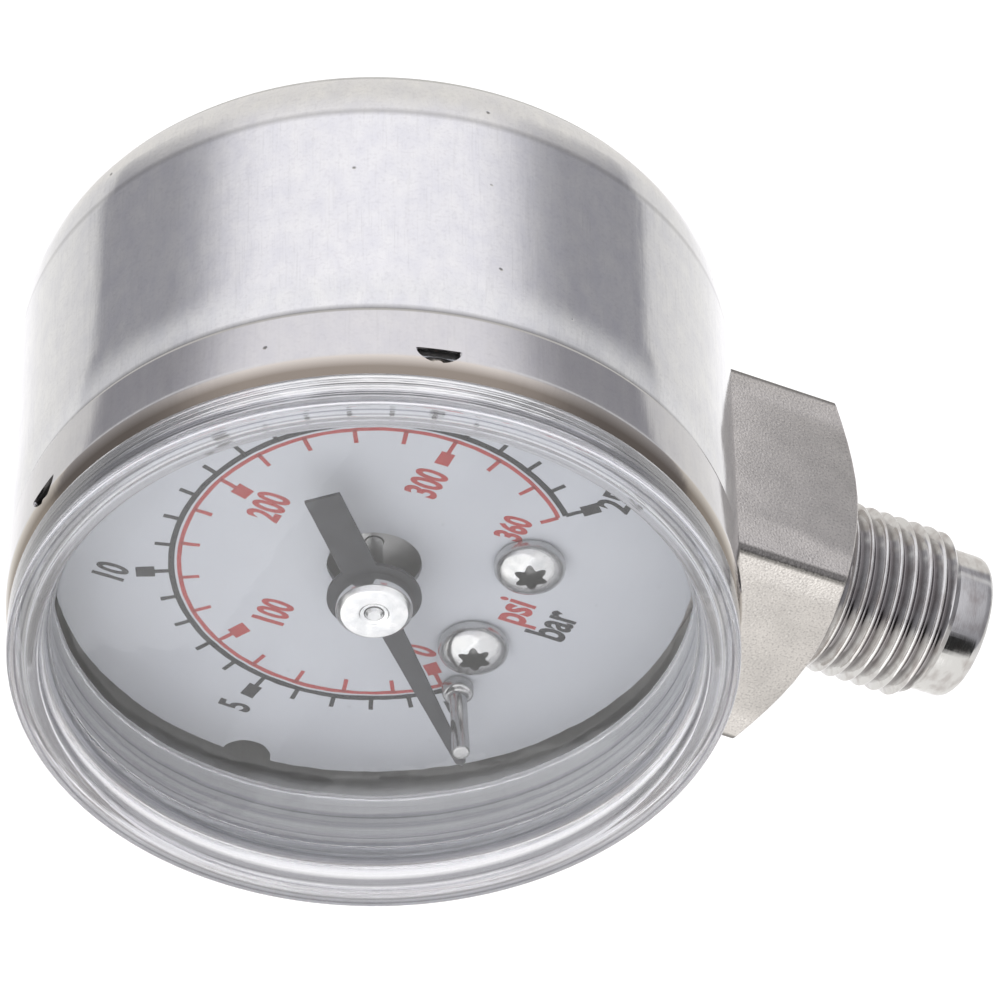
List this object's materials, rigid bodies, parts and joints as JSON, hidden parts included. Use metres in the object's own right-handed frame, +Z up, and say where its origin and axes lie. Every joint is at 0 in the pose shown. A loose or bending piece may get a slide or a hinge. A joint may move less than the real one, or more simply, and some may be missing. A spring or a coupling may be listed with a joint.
{
  "type": "pressure gauge",
  "caption": "Round Bourdon tube pressure gauge with a double scale, a clear window and a threaded bottom connection with wrench flats.",
  "frame": {"origin": "centre of the shoulder that seats on the fitting, on the axis of the G 1/8 B thread", "axes": "+Z up along the thread's axis towards the dial, -Z out of the threaded end, +X to the right as the dial is read, the dial faces -Y"},
  "size_m": [0.0392, 0.0266, 0.0558],
  "materials": {
    "case_steel": "polished and finely brushed stainless steel",
    "clear_plastic": "clear moulded polycarbonate",
    "blasted_steel": "bead-blasted stainless steel, thread turned bright",
    "turned_steel": "turned stainless steel",
    "movement_steel": "stamped stainless steel",
    "tube_alloy": "drawn stainless steel",
    "spring_alloy": "rolled spring ribbon",
    "dial_white": "pale satin paint with printed scales",
    "pointer_grey": "dark satin coating",
    "print_black": "printed ink",
    "print_red": "printed ink"
  },
  "bodies": {
    "root": {"case": "case_steel", "window": "clear_plastic", "socket": "blasted_steel", "bourdon_tube": "tube_alloy", "dial": "dial_white", "dial_screw_left": "turned_steel", "dial_screw_right": "turned_steel", "dial_standoff_left": "turned_steel", "dial_standoff_right": "turned_steel", "stop_pin": "turned_steel", "front_plate": "movement_steel", "rear_plate": "movement_steel", "pillar_left": "turned_steel", "pillar_right": "turned_steel", "pillar_lower": "turned_steel", "plate_screw_left": "turned_steel", "plate_screw_right": "turned_steel", "plate_screw_lower": "turned_steel", "movement_screw_left": "turned_steel", "movement_screw_right": "turned_steel", "case_screw_left": "turned_steel", "case_screw_right": "turned_steel", "hairspring": "spring_alloy", "hairspring_stud": "turned_steel"},
    "pointer_shaft": {"pointer_arbor": "turned_steel", "pointer": "pointer_grey", "pointer_hub": "turned_steel", "hairspring_collet": "turned_steel"},
    "sector": {"sector_gear": "movement_steel", "sector_arbor": "turned_steel", "sector_tail_pin": "turned_steel"},
    "tube_end": {"tube_tip": "tube_alloy", "link_pin": "turned_steel"},
    "link": {"link": "movement_steel"}
  },
  "joints": [
    {"name": "pointer_turn", "type": "hinge", "parent": "root", "child": "pointer_shaft", "pos_m": [0, -0.0113, 0.0262], "axis": [0, 1, 0], "range_deg": [0, 270], "stiffness_Nm_per_rad": 0.00002, "springref_deg": -57.3, "deforming": ["hairspring"]},
    {"name": "sector_swing", "type": "hinge", "parent": "root", "child": "sector", "pos_m": [0.00656, -0.0038, 0.01839], "axis": [0, 1, 0], "range_deg": [-36, 0]},
    {"name": "tube_flex", "type": "hinge", "parent": "root", "child": "tube_end", "pos_m": [0.00813, 0.00185, 0.03587], "axis": [0, 1, 0], "range_deg": [-5.67, 0], "deforming": ["bourdon_tube"]},
    {"name": "link_swing", "type": "hinge", "parent": "tube_end", "child": "link", "pos_m": [0.01064, -0.00465, 0.016], "axis": [0, 1, 0], "range_deg": [0, 5.67]}
  ],
  "couplings": [
    {"joint": "sector_swing", "follows": "pointer_turn", "ratio": -0.13333},
    {"joint": "tube_flex", "follows": "pointer_turn", "ratio": -0.020985},
    {"joint": "link_swing", "follows": "pointer_turn", "ratio": 0.020985}
  ]
}
